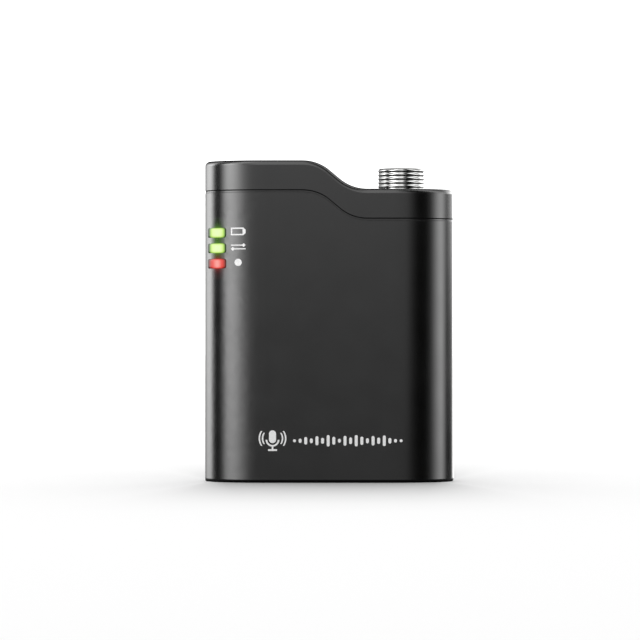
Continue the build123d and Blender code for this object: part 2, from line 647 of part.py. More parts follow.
with BuildPart() as flex_connectors:
    block((-15, BOARD_BACK, 54.5), (-7, BOARD_BACK + 0.8, 56.5))
    block((-15, -4.6, TOP_BOARD_Z - 0.9), (-7, -3.4, TOP_BOARD_Z))
flex_connectors.part.label = "flex_connectors"
export_step(flex_connectors.part, "parts/flex_connectors.step")

with BuildPart() as flex_cable:
    block((-14, -4.3, 56.5), (-8, -4.15, TOP_BOARD_Z - 0.9))
flex_cable.part.label = "flex_cable"
export_step(flex_cable.part, "parts/flex_cable.step")

# ---------------------------------------------------------------------------
# Antennas on a plastic carrier
# ---------------------------------------------------------------------------
carrier_front = 4.2
carrier_back = 5.4

with BuildPart() as antenna_carrier:
    block((-20, carrier_front, CHASSIS_TOP), (1, carrier_back, TOP_BOARD_Z - 1.2))
    block((-20, 1.5, CHASSIS_TOP), (1, carrier_back, CHASSIS_TOP + 1.2))
antenna_carrier.part.label = "antenna_carrier"
export_step(antenna_carrier.part, "parts/antenna_carrier.step")


def antenna(y_low, y_high, feed_x, far_x):
    """Folded strip antenna: a feed line with two arms of different lengths."""
    low, high = sorted((feed_x, far_x))
    with BuildPart() as strip:
        block((feed_x - 0.5, y_low, 60), (feed_x + 0.5, y_high, 74.5))
        block((low - 0.5, y_low, 73.3), (high + 0.5, y_high, 74.5))
        block((far_x - 0.5, y_low, 69), (far_x + 0.5, y_high, 74.5))
        block((low + 3.0, y_low, 66), (high - 3.0, y_high, 67.2))
        block((min(feed_x, low + 3.0), y_low, 66), (max(feed_x, high - 3.0), y_high, 67.2))
    return strip.part


antenna_main = antenna(carrier_back, carrier_back + 0.15, -1.0, -17.0)
antenna_main.label = "antenna_main"
export_step(antenna_main, "parts/antenna_main.step")

antenna_diversity = antenna(carrier_front - 0.15, carrier_front, -18.0, -3.0)
antenna_diversity.label = "antenna_diversity"
export_step(antenna_diversity, "parts/antenna_diversity.step")

# ---------------------------------------------------------------------------
# Charging and data, in the base
# ---------------------------------------------------------------------------
with BuildPart() as usb_socket:
    with BuildSketch(Plane.XY.offset(1.0)):
        with Locations((0, SOCKET_Y)):
            RectangleRounded(2 * SOCKET_HALF, 2.5, 0.5)
    extrude(amount=SOCKET_TOP - 1.0)
    with BuildSketch(Plane.XY.offset(1.0)):
        with Locations((0, SOCKET_Y)):
            RectangleRounded(2 * SOCKET_HALF - 0.6, 1.9, 0.3)
    extrude(amount=SOCKET_TOP - 1.4, mode=Mode.SUBTRACT)
usb_socket.part.label = "usb_socket"
export_step(usb_socket.part, "parts/usb_socket.step")

with BuildPart() as usb_tongue:
    block((-2.3, SOCKET_Y - 0.3, 2.2), (2.3, SOCKET_Y + 0.3, SOCKET_TOP - 0.4))
usb_tongue.part.label = "usb_tongue"
export_step(usb_tongue.part, "parts/usb_tongue.step")

with BuildPart() as charge_contacts:
    for x in CHARGE_PINS:
        rod((x, CHARGE_PIN_Y, 0.25), UP, CHARGE_PIN_RADIUS - SKIN, 5.0)
charge_contacts.part.label = "charge_contacts"
export_step(charge_contacts.part, "parts/charge_contacts.step")

# ---------------------------------------------------------------------------
# Battery
# ---------------------------------------------------------------------------
with BuildPart() as battery_pack:
    block((-BATTERY_HALF, BATTERY_FRONT, BATTERY_BOTTOM), (BATTERY_HALF, BATTERY_BACK, BATTERY_TOP))
    fillet(battery_pack.edges().filter_by(Axis.Z), 1.2)
battery_pack.part.label = "battery_pack"
export_step(battery_pack.part, "parts/battery_pack.step")

battery_middle = (BATTERY_FRONT + BATTERY_BACK) / 2
TERMINALS = (-4.0, 0.0, 4.0)

with BuildPart() as battery_terminals:
    for x in TERMINALS:
        block((x - 1.2, battery_middle - 2, BATTERY_TOP), (x + 1.2, battery_middle + 2, BATTERY_TOP + 0.1))
battery_terminals.part.label = "battery_terminals"
export_step(battery_terminals.part, "parts/battery_terminals.step")

with BuildPart() as contact_block:
    block((-7, battery_middle - 2.6, BATTERY_TOP + 0.9), (7, battery_middle + 2.6, CHASSIS_TOP - 1))
contact_block.part.label = "contact_block"
export_step(contact_block.part, "parts/contact_block.step")

with BuildPart() as battery_contacts:
    for x in TERMINALS:
        rod((x, battery_middle, BATTERY_TOP + 0.1 + SKIN), UP, 0.6, 0.8 - SKIN)
battery_contacts.part.label = "battery_contacts"
export_step(battery_contacts.part, "parts/battery_contacts.step")

# ---------------------------------------------------------------------------
# Battery door
# ---------------------------------------------------------------------------
with BuildPart() as battery_door:
    block((-DOOR_HALF, door_front, 0), (DOOR_HALF, 5.85, DOOR_SHEET))
    block((-barrel_half, 5.8, 0), (barrel_half, HINGE_Y - 1.05, DOOR_SHEET))
    block((-barrel_half, 5.8, HINGE_Z - HINGE_BARREL), (barrel_half, HINGE_Y, DOOR_SHEET))
    rod((-barrel_half, HINGE_Y, HINGE_Z), SIDEWAYS, HINGE_BARREL, 2 * barrel_half)
    rod((-barrel_half - 1, HINGE_Y, HINGE_Z), SIDEWAYS, HINGE_PIN + 0.05, 2 * barrel_half + 2, Mode.SUBTRACT)
    # Snap bump on the front edge
    block((-4, door_front - 0.12, 0.9), (4, door_front, DOOR_SHEET))
battery_door.part.label = "battery_door"
export_step(battery_door.part, "parts/battery_door.step")

with BuildPart() as door_hinge_pin:
    rod((-ear_far, HINGE_Y, HINGE_Z), SIDEWAYS, HINGE_PIN, 2 * ear_far)
door_hinge_pin.part.label = "door_hinge_pin"
export_step(door_hinge_pin.part, "parts/door_hinge_pin.step")

with BuildPart() as door_seal:
    with BuildSketch(Plane.XY.offset(DOOR_SHEET)):
        with Locations((0, 1.8)):
            RectangleRounded(35.0, 7.0, 1.2)
            RectangleRounded(33.2, 5.2, 0.6, mode=Mode.SUBTRACT)
    extrude(amount=0.7)
door_seal.part.label = "door_seal"
export_step(door_seal.part, "parts/door_seal.step")

with BuildPart() as battery_foam:
    block((-12, 0, DOOR_SHEET), (12, 4.0, BATTERY_BOTTOM - 0.3))
battery_foam.part.label = "battery_foam"
export_step(battery_foam.part, "parts/battery_foam.step")

# ---------------------------------------------------------------------------
# Belt clip
# ---------------------------------------------------------------------------
bracket_front = HALF_DEPTH + SKIN
bracket_back = HALF_DEPTH + BRACKET_SHEET

with BuildPart() as clip_bracket:
    with BuildSketch(Plane(origin=(0, bracket_front, 53.5), x_dir=(1, 0, 0), z_dir=FORWARD)):
        RectangleRounded(2 * BRACKET_HALF, 19.0, 2.0)
    extrude(amount=-(bracket_back - bracket_front))
    for x in (-BRACKET_HALF, CLIP_HALF + 0.3):
        ear = BRACKET_HALF - CLIP_HALF - 0.3
        rod((x, CLIP_PIVOT_Y, CLIP_PIVOT_Z), SIDEWAYS, 2.1, ear)
        block((x, HALF_DEPTH + 0.5, CLIP_PIVOT_Z - 2.1), (x + ear, CLIP_PIVOT_Y, CLIP_PIVOT_Z + 2.1))
        rod((x - 1, CLIP_PIVOT_Y, CLIP_PIVOT_Z), SIDEWAYS, CLIP_PIN + 0.02, 4, Mode.SUBTRACT)
    for x, z in CLIP_SCREWS:
        rod((x, HALF_DEPTH - 1, z), BACKWARD, CLIP_SCREW_RADIUS + 0.05, 4, Mode.SUBTRACT)
clip_bracket.part.label = "clip_bracket"
export_step(clip_bracket.part, "parts/clip_bracket.step")

with BuildPart() as clip_lever:
    with BuildSketch(Plane.YZ.offset(-CLIP_HALF)):
        with BuildLine():
            FilletPolyline(
                (16.9, 66.0), (16.0, 60.0), (16.0, 23.0), (11.25, 15.0), (12.9, 11.2), radius=2.2
            )
        trace(line_width=CLIP_SHEET)
    extrude(amount=2 * CLIP_HALF)
    for x in (-CLIP_HALF, CLIP_HALF - CLIP_SHEET):
        rod((x, CLIP_PIVOT_Y, CLIP_PIVOT_Z), SIDEWAYS, 1.9, CLIP_SHEET)
        block((x, CLIP_PIVOT_Y, CLIP_PIVOT_Z - 1.9), (x + CLIP_SHEET, 15.7, CLIP_PIVOT_Z + 1.9))
        rod((x - 1, CLIP_PIVOT_Y, CLIP_PIVOT_Z), SIDEWAYS, CLIP_PIN + 0.05, 4, Mode.SUBTRACT)
clip_lever.part.label = "clip_lever"
export_step(clip_lever.part, "parts/clip_lever.step")

with BuildPart() as clip_pin:
    rod((-BRACKET_HALF - 0.5, CLIP_PIVOT_Y, CLIP_PIVOT_Z), SIDEWAYS, CLIP_PIN, 2 * BRACKET_HALF + 1.0)
    for x in (-BRACKET_HALF - 0.55, BRACKET_HALF + SKIN):
        rod((x, CLIP_PIVOT_Y, CLIP_PIVOT_Z), SIDEWAYS, 1.5, 0.53)
clip_pin.part.label = "clip_pin"
export_step(clip_pin.part, "parts/clip_pin.step")

# Torsion spring: one leg rests on the bracket, the other on the lever
spring_wire = 0.22
spring_radius = 1.35
spring_half = 4.0
with BuildPart() as clip_spring:
    with BuildLine():
        Helix(
            pitch=0.75,
            height=2 * spring_half,
            radius=spring_radius,
            center=(-spring_half, CLIP_PIVOT_Y, CLIP_PIVOT_Z),
            direction=SIDEWAYS,
        )
    coil_path = clip_spring.pending_edges[0]
    with BuildSketch(Plane(origin=coil_path @ 0, z_dir=coil_path % 0)):
        Circle(spring_wire)
    sweep(is_frenet=True)
clip_spring.part.label = "clip_spring"
export_step(clip_spring.part, "parts/clip_spring.step")

with BuildPart() as clip_screws:
    for x, z in CLIP_SCREWS:
        rod((x, bracket_back, z), BACKWARD, 1.7, 0.9)
        rod((x, bracket_back, z), FORWARD, CLIP_SCREW_RADIUS, 3.9)
        with BuildSketch(Plane(origin=(x, bracket_back + 0.9, z), z_dir=FORWARD)):
            RegularPolygon(0.8, 6)
        extrude(amount=0.6, mode=Mode.SUBTRACT)
clip_screws.part.label = "clip_screws"
export_step(clip_screws.part, "parts/clip_screws.step")

with BuildPart() as clip_nut_plate:
    block((-BRACKET_HALF, 7.2, 44), (BRACKET_HALF, HALF_DEPTH - WALL - SKIN, 63))
    for x, z in CLIP_SCREWS:
        rod((x, 6, z), BACKWARD, CLIP_SCREW_RADIUS, 4, Mode.SUBTRACT)
clip_nut_plate.part.label = "clip_nut_plate"
export_step(clip_nut_plate.part, "parts/clip_nut_plate.step")

with BuildPart() as cap_screws:
    for x in mirrored(CAP_SCREW_X):
        with BuildSketch(Plane.XY):
            with BuildLine():
                Polyline(
                    (0, -0.05),
                    (CAP_SCREW_HEAD - 0.05, -0.05),
                    (CAP_SCREW_RADIUS - 0.02, -1.0),
                    (CAP_SCREW_RADIUS - 0.02, -4.0),
                    (0, -4.0),
                    close=True,
                )
            profile = make_face()
        with Locations(Plane(origin=(x, HALF_DEPTH, CAP_SCREW_Z), x_dir=(1, 0, 0), z_dir=UP)):
            add(revolve(profile, Axis.Y, mode=Mode.PRIVATE))
        with BuildSketch(Plane(origin=(x, HALF_DEPTH, CAP_SCREW_Z), z_dir=FORWARD)):
            RegularPolygon(0.7, 6)
        extrude(amount=0.7, mode=Mode.SUBTRACT)
cap_screws.part.label = "cap_screws"
export_step(cap_screws.part, "parts/cap_screws.step")
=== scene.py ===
import json
from math import atan2, ceil, cos, pi, radians, sin, sqrt

import bpy
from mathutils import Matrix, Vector


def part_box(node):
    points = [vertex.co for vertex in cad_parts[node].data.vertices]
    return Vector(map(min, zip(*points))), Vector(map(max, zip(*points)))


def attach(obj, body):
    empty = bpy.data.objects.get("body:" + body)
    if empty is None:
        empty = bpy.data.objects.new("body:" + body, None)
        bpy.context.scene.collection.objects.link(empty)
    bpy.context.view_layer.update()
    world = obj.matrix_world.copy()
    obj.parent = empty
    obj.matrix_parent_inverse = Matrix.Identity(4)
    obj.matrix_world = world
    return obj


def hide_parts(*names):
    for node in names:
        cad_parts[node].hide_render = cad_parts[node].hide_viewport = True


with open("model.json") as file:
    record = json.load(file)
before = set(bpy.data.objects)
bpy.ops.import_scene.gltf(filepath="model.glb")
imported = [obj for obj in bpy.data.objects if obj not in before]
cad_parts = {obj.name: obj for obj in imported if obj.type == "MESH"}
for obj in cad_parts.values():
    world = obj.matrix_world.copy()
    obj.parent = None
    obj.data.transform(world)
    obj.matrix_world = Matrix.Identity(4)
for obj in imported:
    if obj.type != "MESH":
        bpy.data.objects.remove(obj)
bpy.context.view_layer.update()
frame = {"nodes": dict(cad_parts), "record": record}

MM = 0.001

# ---------------------------------------------------------------------------
# Places worked out from the frame
# ---------------------------------------------------------------------------
case_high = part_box("housing")[1]
cap_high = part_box("top_cap")[1]
sleeve_low, sleeve_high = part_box("jack_bushing")
HALF_WIDTH = case_high.x
HALF_DEPTH = case_high.y
END_LENGTH = 15.6 * MM                  # half-length of the ellipse at each end of the case
HALF_FLAT = HALF_WIDTH - END_LENGTH
DECK_HIGH = cap_high.z
STEP_DROP = 7.23 * MM                   # how far the right-hand deck lies lower
DECK_LOW = DECK_HIGH - STEP_DROP
JACK_X = (sleeve_low.x + sleeve_high.x) / 2
JACK_TOP = sleeve_high.z
WINDOWS = {
    "battery": "light_pipe_battery",
    "link": "light_pipe_link",
    "status": "light_pipe_status",
}


def middle(node):
    """Centre of a CAD node's box."""
    low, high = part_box(node)
    return (low + high) / 2


def front_y(x):
    """Y of the case's front surface at x."""
    beyond = abs(x) - HALF_FLAT
    if beyond <= 0:
        return -HALF_DEPTH
    return -HALF_DEPTH * sqrt(max(0.0, 1 - (beyond / END_LENGTH) ** 2))


def front_normal(x):
    """Outward direction of the case's front surface at x."""
    beyond = abs(x) - HALF_FLAT
    if beyond <= 0:
        return Vector((0, -1, 0))
    along = (beyond / END_LENGTH**2) * (1 if x > 0 else -1)
    return Vector((along, front_y(x) / HALF_DEPTH**2, 0)).normalized()


def on_front(x, z, lift):
    """Point on the case's front surface, lifted along its normal."""
    return Vector((x, front_y(x), z)) + front_normal(x) * lift


# ---------------------------------------------------------------------------
# Mesh helpers
# ---------------------------------------------------------------------------
def mesh_object(name, points, faces, smooth_angle=None):
    """Mesh from points and faces, with smooth shading up to an angle."""
    mesh = bpy.data.meshes.new(name)
    mesh.from_pydata([tuple(p) for p in points], [], faces)
    mesh.validate()
    obj = bpy.data.objects.new(name, mesh)
    bpy.context.scene.collection.objects.link(obj)
    bpy.context.view_layer.objects.active = obj
    obj.select_set(True)
    bpy.ops.object.mode_set(mode="EDIT")
    bpy.ops.mesh.select_all(action="SELECT")
    bpy.ops.mesh.normals_make_consistent(inside=False)
    bpy.ops.object.mode_set(mode="OBJECT")
    if smooth_angle is not None:
        bpy.ops.object.shade_smooth_by_angle(angle=radians(smooth_angle))
    obj.select_set(False)
    return obj


def grid_faces(rows, columns, start=0, wrap=False):
    """Quads between neighbouring rows of points; wrap joins the last column to the first."""
    faces = []
    for r in range(rows - 1):
        for c in range(columns if wrap else columns - 1):
            after = (c + 1) % columns
            a = start + r * columns + c
            b = start + r * columns + after
            faces.append((a, b, b + columns, a + columns))
    return faces


INK = 0.02 * MM                         # how far the print stands off the case
INK_ROOT = 0.05 * MM                    # how far it reaches into the case


def closed_strip(faces, start, count):
    """Faces of a closed strip whose points come in rings of four."""
    faces += grid_faces(count, 4, start, wrap=True)
    last = start + 4 * (count - 1)
    faces.append((start + 3, start + 2, start + 1, start))
    faces.append((last, last + 1, last + 2, last + 3))


def slab(points, faces, xs, low, high):
    """Add one closed patch of ink on the front between two heights that are functions of x."""
    start = len(points)
    for x in xs:
        points.append(on_front(x, low(x), INK))
        points.append(on_front(x, high(x), INK))
        points.append(on_front(x, high(x), -INK_ROOT))
        points.append(on_front(x, low(x), -INK_ROOT))
    closed_strip(faces, start, len(xs))


def spread(low, high, count):
    """Evenly spaced values, ends included."""
    return [low + (high - low) * i / (count - 1) for i in range(count)]


def ink_box(points, faces, x0, x1, z0, z1):
    """Rectangular patch of ink."""
    longest = 0.4 * MM
    steps = max(2, int(ceil((x1 - x0) / longest)) + 1)
    slab(points, faces, spread(x0, x1, steps), lambda x: z0, lambda x: z1)


def ink_disc(points, faces, cx, cz, radius, count=33):
    """Round patch of ink."""
    xs = [cx - radius * cos(radians(4 + 172 * i / (count - 1))) for i in range(count)]

    def half(x):
        return sqrt(max(0.0, radius**2 - (x - cx) ** 2))

    slab(points, faces, xs, lambda x: cz - half(x), lambda x: cz + half(x))


def ink_arc(points, faces, cx, cz, side, radius, rows):
    """Thin upright arc of ink, opening towards its centre."""
    start = len(points)
    half_width = 0.19 * MM
    for row in rows:
        reach = side * sqrt(radius**2 - row**2)
        for x in (cx + reach - half_width, cx + reach + half_width):
            points.append(on_front(x, cz + row, INK))
        for x in (cx + reach + half_width, cx + reach - half_width):
            points.append(on_front(x, cz + row, -INK_ROOT))
    closed_strip(faces, start, len(rows))


def ink_pill(points, faces, cx, half_width, z0, z1):
    """Upright bar of ink with round ends."""
    xs = [cx - half_width * cos(radians(8 + 164 * i / 12)) for i in range(13)]

    def end(x):
        return sqrt(max(0.0, half_width**2 - (x - cx) ** 2))

    slab(
        points, faces, xs,
        lambda x: z0 + half_width - end(x),
        lambda x: z1 - half_width + end(x),
    )


def ink_object(name, points, faces, material):
    """Finish a printed piece: it rides on the case."""
    obj = mesh_object(name, points, faces)
    obj.data.materials.append(material)
    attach(obj, "root")
    return obj


# ---------------------------------------------------------------------------
# Materials
# ---------------------------------------------------------------------------
def new_material(name):
    """Empty node material with a Principled shader; returns the material, nodes, links, shader."""
    material = bpy.data.materials.new(name)
    material.use_nodes = True
    nodes = material.node_tree.nodes
    links = material.node_tree.links
    return material, nodes, links, nodes["Principled BSDF"]


def noise(nodes, links, scale, detail=2.0, rough=0.5, stretch=None):
    """Noise of a given scale per metre, in the object's own coordinates."""
    place = nodes.new("ShaderNodeTexCoord")
    texture = nodes.new("ShaderNodeTexNoise")
    texture.inputs["Scale"].default_value = scale
    texture.inputs["Detail"].default_value = detail
    texture.inputs["Roughness"].default_value = rough
    if stretch is None:
        links.new(place.outputs["Object"], texture.inputs["Vector"])
    else:
        mapping = nodes.new("ShaderNodeMapping")
        mapping.inputs["Scale"].default_value = stretch
        links.new(place.outputs["Object"], mapping.inputs["Vector"])
        links.new(mapping.outputs["Vector"], texture.inputs["Vector"])
    return texture.outputs["Fac"]


def ramp(nodes, links, source, stops):
    """Colour ramp over a source value; stops are (position, colour or grey)."""
    node = nodes.new("ShaderNodeValToRGB")
    elements = node.color_ramp.elements
    while len(elements) > 1:
        elements.remove(elements[-1])
    for index, (position, value) in enumerate(stops):
        colour = value if isinstance(value, tuple) else (value, value, value)
        element = elements[0] if index == 0 else elements.new(position)
        element.position = position
        element.color = (*colour, 1)
    links.new(source, node.inputs["Fac"])
    return node.outputs["Color"]


def bump(nodes, links, shader, height, strength, distance):
    """Add a bump from a height value."""
    node = nodes.new("ShaderNodeBump")
    node.inputs["Strength"].default_value = strength
    node.inputs["Distance"].default_value = distance
    links.new(height, node.inputs["Height"])
    links.new(node.outputs["Normal"], shader.inputs["Normal"])
    return node


def grained(name, dark, light, rough_low, rough_high, grain, depth, metallic=0.0, specular=0.5):
    """Finish with a fine grain in its colour, its gloss and its relief."""
    material, nodes, links, shader = new_material(name)
    shader.inputs["Metallic"].default_value = metallic
    shader.inputs["Specular IOR Level"].default_value = specular
    fine = noise(nodes, links, grain, 3.0, 0.6)
    broad = noise(nodes, links, 120.0, 2.0, 0.5)
    links.new(ramp(nodes, links, fine, [(0.3, dark), (0.7, light)]), shader.inputs["Base Color"])
    links.new(
        ramp(nodes, links, broad, [(0.3, rough_low), (0.7, rough_high)]),
        shader.inputs["Roughness"],
    )
    bump(nodes, links, shader, fine, 0.6, depth)
    return material


def brushed(name, dark, light, roughness, stretch, depth=0.004 * MM):
    """Metal with fine parallel scratches; stretch is small along the scratches."""
    material, nodes, links, shader = new_material(name)
    shader.inputs["Metallic"].default_value = 1.0
    lines = noise(nodes, links, 900.0, 4.0, 0.65, stretch)
    links.new(ramp(nodes, links, lines, [(0.3, dark), (0.7, light)]), shader.inputs["Base Color"])
    links.new(
        ramp(nodes, links, lines, [(0.25, roughness * 0.75), (0.75, roughness * 1.3)]),
        shader.inputs["Roughness"],
    )
    bump(nodes, links, shader, lines, 0.35, depth)
    return material


def feed(links, socket, value):
    """Set a socket to a number or a colour, or link an output to it."""
    if isinstance(value, (int, float, tuple)):
        socket.default_value = value
    else:
        links.new(value, socket)


def maths(nodes, links, operation, *values):
    """Maths node; each value is a number or an output."""
    node = nodes.new("ShaderNodeMath")
    node.operation = operation
    for socket, value in zip(node.inputs, values):
        feed(links, socket, value)
    return node.outputs["Value"]


def between(nodes, links, value, low, high):
    """Where a value lies between two limits, from 0 to 1; a limit is a number or an output."""
    span = nodes.new("ShaderNodeMapRange")
    for name, source in (("Value", value), ("From Min", low), ("From Max", high)):
        feed(links, span.inputs[name], source)
    return span.outputs["Result"]


def blended(nodes, links, factor, first, second, blend_type="MIX"):
    """Mix of two colours, each a colour or an output."""
    blend = nodes.new("ShaderNodeMix")
    blend.data_type = "RGBA"
    blend.blend_type = blend_type
    for name, source in (("Factor", factor), ("A", first), ("B", second)):
        feed(links, blend.inputs[name], source)
    return blend.outputs["Result"]


def placed(nodes, links, centre, scale):
    """The object's own coordinates, measured from a centre in units of a scale."""
    place = nodes.new("ShaderNodeTexCoord")
    shift = nodes.new("ShaderNodeMapping")
    shift.vector_type = "TEXTURE"
    shift.inputs["Location"].default_value = centre
    shift.inputs["Scale"].default_value = scale
    links.new(place.outputs["Object"], shift.inputs["Vector"])
    return shift.outputs["Vector"]


WINDOW_CORE = (1.97 * MM, 1.0, 1.30 * MM)     # half-size over which the light deepens
WINDOW_DEPTH = 0.66                     # how fast it deepens
WINDOW_MOTTLE = 0.10


def lit_window(name, stops, centre, across):
    """Lit light guide: a pale core that deepens towards the rim of the window."""
    material, nodes, links, shader = new_material(name)
    parts = nodes.new("ShaderNodeSeparateXYZ")
    links.new(placed(nodes, links, centre, WINDOW_CORE), parts.inputs["Vector"])
    bends = []
    for axis, power in (("X", across), ("Z", 6.0)):
        size = maths(nodes, links, "ABSOLUTE", parts.outputs[axis])
        bends.append(maths(nodes, links, "POWER", size, power))
    outward = maths(nodes, links, "ADD", *bends)
    grain = noise(nodes, links, 2600.0, 3.0, 0.6, (1, 1, 0.25))
    mottled = maths(nodes, links, "MULTIPLY_ADD", grain, WINDOW_MOTTLE, outward)
    glow = ramp(nodes, links, maths(nodes, links, "MULTIPLY", mottled, WINDOW_DEPTH), stops)
    shader.inputs["Base Color"].default_value = (0.002, 0.004, 0.002, 1)
    links.new(glow, shader.inputs["Emission Color"])
    shader.inputs["Emission Strength"].default_value = 1.0
    shader.inputs["Roughness"].default_value = 0.2
    shader.inputs["Specular IOR Level"].default_value = 0.08
    bump(nodes, links, shader, grain, 0.15, 0.01 * MM)
    return material


def window_spill(nodes, links, spots):
    """Painted glow: light that spills from the windows on to the skin round them, painted into its emission
    colour.
    """
    total = None
    for centre, colour in spots:
        length = nodes.new("ShaderNodeVectorMath")
        length.operation = "LENGTH"
        links.new(placed(nodes, links, centre, SPILL_REACH), length.inputs[0])
        fade = [(0.0, 1.0), (0.30, 0.62), (0.45, 0.25), (0.62, 0.08), (1.0, 0.0)]
        stops = [(distance, tuple(c * strength for c in colour)) for distance, strength in fade]
        spill = ramp(nodes, links, length.outputs["Value"], stops)
        if total is None:
            total = spill
            continue
        join = nodes.new("ShaderNodeMix")
        join.data_type = "RGBA"
        join.blend_type = "ADD"
        join.inputs["Factor"].default_value = 1.0
        links.new(total, join.inputs["A"])
        links.new(spill, join.inputs["B"])
        total = join.outputs["Result"]
    return total


GREEN_SPILL = (0.085, 0.25, 0.012)
RED_SPILL = (0.24, 0.012, 0.010)
SPILL_REACH = (4.2 * MM, 4.2 * MM, 4.4 * MM)
WINDOW_X = -28.72 * MM
window_middle = {key: middle(node) for key, node in WINDOWS.items()}
window_face = {key: on_front(WINDOW_X, centre.z, 0) for key, centre in window_middle.items()}

paint = grained("case_paint", 0.0010, 0.0016, 0.195, 0.225, 3000.0, 0.0015 * MM)
paint_tree = paint.node_tree
# Painted glow: the case paint is given an emission colour round each lit window
spill = window_spill(paint_tree.nodes, paint_tree.links, [
    (window_face["battery"], GREEN_SPILL),
    (window_face["link"], GREEN_SPILL),
    (window_face["status"], RED_SPILL),
])
paint_shader = paint_tree.nodes["Principled BSDF"]
paint_tree.links.new(spill, paint_shader.inputs["Emission Color"])
paint_shader.inputs["Emission Strength"].default_value = 1.0

MATERIALS = {
    "case_paint": paint,
    "cap_plastic": grained("cap_plastic", 0.0010, 0.0016, 0.20, 0.235, 3000.0, 0.0015 * MM),
    "base_plastic": grained("base_plastic", 0.0006, 0.0012, 0.5, 0.6, 4000.0, 0.004 * MM, specular=0.04),
    "gasket_rubber": grained("gasket_rubber", 0.0006, 0.0012, 0.7, 0.85, 3000.0, 0.004 * MM, specular=0.05),
    "nickel": brushed("nickel", (0.24, 0.24, 0.237), (0.32, 0.32, 0.315), 0.10, (1, 1, 12)),
    "inner_plastic": grained("inner_plastic", 0.008, 0.016, 0.38, 0.5, 3000.0, 0.01 * MM),
    "control_plastic": grained("control_plastic", 0.010, 0.018, 0.42, 0.5, 3800.0, 0.02 * MM),
    "contact_gold": brushed("contact_gold", (0.72, 0.45, 0.14), (0.95, 0.68, 0.28), 0.2, (1, 1, 1)),
    "screw_steel": brushed("screw_steel", (0.35, 0.35, 0.35), (0.62, 0.62, 0.61), 0.25, (1, 1, 6)),
    "screw_black": grained("screw_black", 0.012, 0.022, 0.28, 0.38, 3000.0, 0.006 * MM, 0.7),
    "clip_steel": brushed("clip_steel", (0.040, 0.040, 0.041), (0.070, 0.070, 0.071), 0.32, (14, 14, 0.6)),
    "clip_black": grained("clip_black", 0.006, 0.012, 0.3, 0.42, 3600.0, 0.012 * MM),
    "frame_metal": brushed("frame_metal", (0.5, 0.5, 0.5), (0.72, 0.72, 0.72), 0.35, (1, 8, 1)),
    "socket_steel": brushed("socket_steel", (0.45, 0.45, 0.45), (0.7, 0.7, 0.69), 0.25, (1, 1, 5)),
    "board_green": grained(
        "board_green", (0.004, 0.05, 0.02), (0.008, 0.09, 0.035), 0.2, 0.3, 1500.0, 0.004 * MM
    ),
    "chip_black": grained("chip_black", 0.010, 0.020, 0.5, 0.6, 3000.0, 0.008 * MM),
    "led_white": grained("led_white", (0.6, 0.6, 0.45), (0.85, 0.85, 0.7), 0.3, 0.4, 2000.0, 0.004 * MM),
    "flex_film": grained("flex_film", (0.30, 0.12, 0.02), (0.42, 0.18, 0.03), 0.2, 0.3, 900.0, 0.004 * MM),
    "antenna_copper": brushed("antenna_copper", (0.6, 0.28, 0.12), (0.85, 0.45, 0.22), 0.3, (1, 1, 6)),
    "battery_wrap": grained("battery_wrap", 0.02, 0.035, 0.4, 0.5, 2500.0, 0.01 * MM),
    "foam": grained("foam", 0.01, 0.03, 0.85, 0.95, 1600.0, 0.15 * MM, specular=0.1),
}
for entry in frame["record"]["subparts"]:
    material = MATERIALS.get(entry["material_slot"])
    if material is None:
        continue
    node = frame["nodes"][entry["node"]]
    for holder in node.material_slots:
        holder.material = material

# ---------------------------------------------------------------------------
# Lit windows
# ---------------------------------------------------------------------------
WINDOW_NEAR = -26.46 * MM
WINDOW_FAR = -31.2 * MM
WINDOW_HALF_HEIGHT = 1.22 * MM


def ellipse_turn(x):
    """Ellipse parameter of a point on the left end, from its x."""
    across = min(1.0, (abs(x) - HALF_FLAT) / END_LENGTH)
    return atan2(across, sqrt(1 - across**2))


def window_points(centre_z, columns, rows, lift):
    """Grid of points over a window with round corners; lift gives the height over the case."""
    corner = 0.6 * MM
    half_length = 3.0 * MM
    turn_near, turn_far = ellipse_turn(WINDOW_NEAR), ellipse_turn(WINDOW_FAR)
    points = []
    for turn in spread(turn_near, turn_far, columns):
        x = -HALF_FLAT - END_LENGTH * sin(turn)
        along = 2 * (turn - turn_near) / (turn_far - turn_near) - 1
        into_corner = max(0.0, abs(along) * half_length - (half_length - corner))
        half_height = WINDOW_HALF_HEIGHT - corner + sqrt(max(0.0, corner**2 - into_corner**2))
        for step in spread(-1, 1, rows):
            points.append(on_front(x, centre_z + step * half_height, lift(along, step)))
    return points


def window_piece(name, centre_z, material, node):
    """Domed window that follows the rounded corner of the case."""
    columns = 41
    rows = 17
    dome = 0.10 * MM
    proud = 0.01 * MM
    root = 0.9 * MM

    def crowned(along, step):
        return dome * (1 - max(abs(step) ** 6, abs(along) ** 14)) + proud

    points = window_points(centre_z, columns, rows, crowned)
    count = len(points)
    points += window_points(centre_z, columns, rows, lambda along, step: -root)
    faces = grid_faces(columns, rows)
    faces += [tuple(reversed(face)) for face in grid_faces(columns, rows, count)]
    for c in range(columns - 1):
        for r in (0, rows - 1):
            a = c * rows + r
            faces.append((a, a + rows, count + a + rows, count + a))
    for r in range(rows - 1):
        for c in (0, columns - 1):
            a = c * rows + r
            faces.append((a, a + 1, count + a + 1, count + a))
    piece = mesh_object(name, points, faces, 50)
    piece.data.materials.append(material)
    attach(piece, "root")
    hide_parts(node)
    return piece


